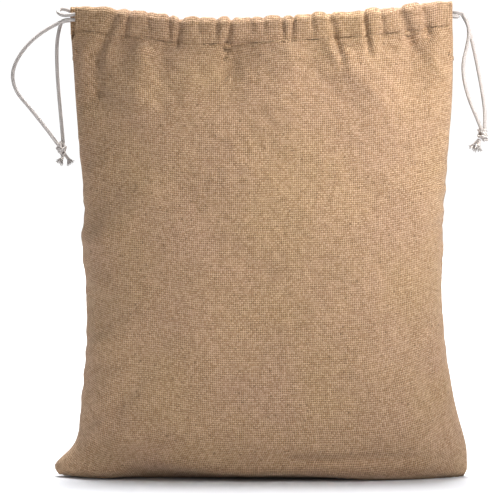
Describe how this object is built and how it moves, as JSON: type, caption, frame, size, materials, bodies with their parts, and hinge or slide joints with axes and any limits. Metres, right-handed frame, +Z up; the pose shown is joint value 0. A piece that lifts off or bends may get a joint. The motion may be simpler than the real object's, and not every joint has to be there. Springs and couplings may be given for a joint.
{
  "type": "drawstring gift pouch",
  "caption": "Upright jute cloth pouch with an open gathered mouth, a stitched casing and two knotted cotton drawcords that pull out at its sides.",
  "frame": {"origin": "centre of the base, on the surface that the pouch stands on", "axes": "+Z up through the mouth, +X along the base towards the right side seam, -Y the front"},
  "size_m": [0.4655, 0.119, 0.4604],
  "materials": {
    "jute_cloth": "matte plain weave in natural jute",
    "sewing_thread": "matte spun thread",
    "cotton_cord": "matte unbleached cotton cord"
  },
  "bodies": {
    "pouch": {"front_panel": "jute_cloth", "back_panel": "jute_cloth", "front_casing": "jute_cloth", "back_casing": "jute_cloth", "front_casing_stitches": "sewing_thread", "back_casing_stitches": "sewing_thread", "left_seam_stitches": "sewing_thread", "right_seam_stitches": "sewing_thread", "bottom_seam_stitches": "sewing_thread", "left_overlock": "sewing_thread", "right_overlock": "sewing_thread", "bottom_overlock": "sewing_thread", "left_slit_stitches": "sewing_thread", "right_slit_stitches": "sewing_thread", "left_bartack": "sewing_thread", "right_bartack": "sewing_thread", "left_drawcord": "cotton_cord", "right_drawcord": "cotton_cord"},
    "left_loop": {"left_front_strand": "cotton_cord", "left_back_strand": "cotton_cord"},
    "left_knotted_end": {"left_knot": "cotton_cord", "left_front_tail": "cotton_cord", "left_back_tail": "cotton_cord"},
    "right_loop": {"right_front_strand": "cotton_cord", "right_back_strand": "cotton_cord"},
    "right_knotted_end": {"right_knot": "cotton_cord", "right_front_tail": "cotton_cord", "right_back_tail": "cotton_cord"}
  },
  "joints": [
    {"name": "left_loop_swing", "type": "hinge", "parent": "pouch", "child": "left_loop", "pos_m": [-0.194, 0, 0.4405], "axis": [0, 1, 0], "range_deg": [0, 80]},
    {"name": "left_knot_pull", "type": "slide", "parent": "left_loop", "child": "left_knotted_end", "axis": [0, 0, -1], "range_m": [0, 0.15]},
    {"name": "right_loop_swing", "type": "hinge", "parent": "pouch", "child": "right_loop", "pos_m": [0.195, 0, 0.4488], "axis": [0, -1, 0], "range_deg": [0, 88]},
    {"name": "right_knot_pull", "type": "slide", "parent": "right_loop", "child": "right_knotted_end", "axis": [0.1671, 0, -0.9859], "range_m": [0, 0.15]}
  ]
}
